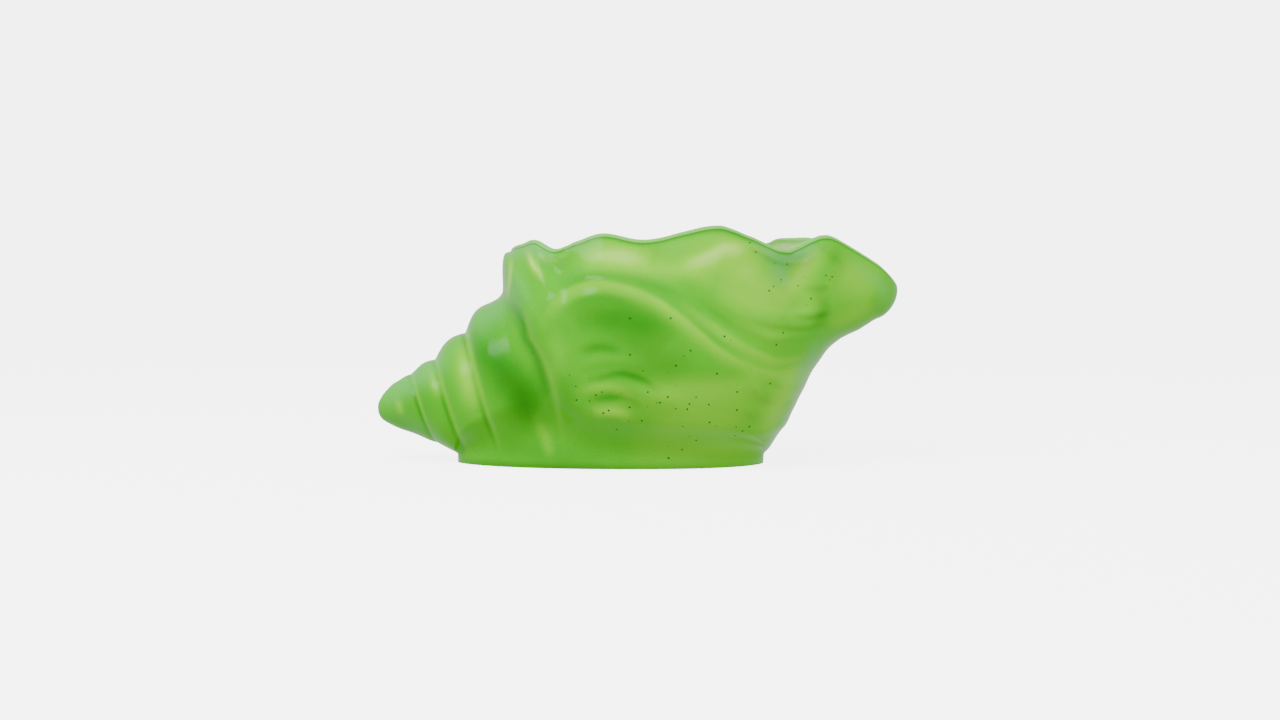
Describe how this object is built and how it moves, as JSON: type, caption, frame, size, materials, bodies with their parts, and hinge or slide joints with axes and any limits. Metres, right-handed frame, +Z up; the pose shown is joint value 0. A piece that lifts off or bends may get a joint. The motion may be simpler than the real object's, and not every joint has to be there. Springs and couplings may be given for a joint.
{
  "type": "shell-shaped bowl",
  "caption": "Glazed ceramic bowl in the form of a whelk shell on its side, with a stepped spire, a folded body, a wavy open rim, a canal spout and a flat oval foot.",
  "frame": {"origin": "On the plane that the foot stands on, under the middle of the shell's length and depth.", "axes": "+X runs along the shell from the spire's tip to the spout, +Y to the back and +Z up out of the open mouth."},
  "size_m": [0.25, 0.1268, 0.1119],
  "materials": {
    "apple_green_glaze": "glossy glaze, deeper green in the hollows and paler on the crests and the rim"
  },
  "bodies": {
    "root": {"whelk_shell_bowl": "apple_green_glaze"}
  },
  "joints": []
}
